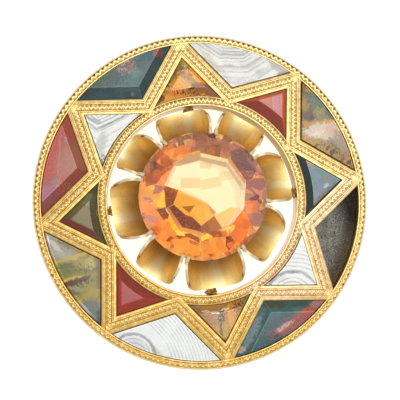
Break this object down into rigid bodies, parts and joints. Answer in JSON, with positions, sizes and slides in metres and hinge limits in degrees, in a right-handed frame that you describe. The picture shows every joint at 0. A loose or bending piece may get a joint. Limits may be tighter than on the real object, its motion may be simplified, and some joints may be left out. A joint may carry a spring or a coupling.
{
  "type": "hardstone brooch",
  "caption": "Round gold brooch inlaid with bevelled agate, jasper and bloodstone slabs round an eight-pointed star, with a citrine in a fluted collet and a pin behind.",
  "frame": {"origin": "under the centre of the rim, on the surface that the brooch rests on", "axes": "+Z out of the face, +Y towards the top of the brooch as it is worn"},
  "size_m": [0.056, 0.056, 0.0137],
  "materials": {
    "gold": "engraved, worn gold",
    "pin_gold": "plain gold",
    "citrine": "polished facets",
    "cement": "rough dark cement",
    "bloodstone": "polished, dark green with red spots",
    "red_jasper": "polished red",
    "green_jasper": "polished olive green",
    "landscape_agate": "polished, clouded grey, olive and ochre",
    "banded_agate": "polished white with fine grey bands",
    "moss_agate": "polished ochre with dark specks"
  },
  "bodies": {
    "root": {"frame": "gold", "brooch_pin": "pin_gold", "citrine": "citrine", "cement_bed": "cement", "bloodstone_upper_left": "bloodstone", "bloodstone_lower_right": "bloodstone", "bloodstone_inner_right": "bloodstone", "red_jasper_left": "red_jasper", "red_jasper_inner_lower_left": "red_jasper", "red_jasper_inner_upper_right": "red_jasper", "green_jasper_inner_left": "green_jasper", "landscape_agate_lower_left": "landscape_agate", "landscape_agate_right": "landscape_agate", "banded_agate_top": "banded_agate", "banded_agate_bottom": "banded_agate", "banded_agate_inner_upper_left": "banded_agate", "banded_agate_inner_lower_right": "banded_agate", "moss_agate_inner_top": "moss_agate", "moss_agate_inner_bottom": "moss_agate"}
  },
  "joints": []
}
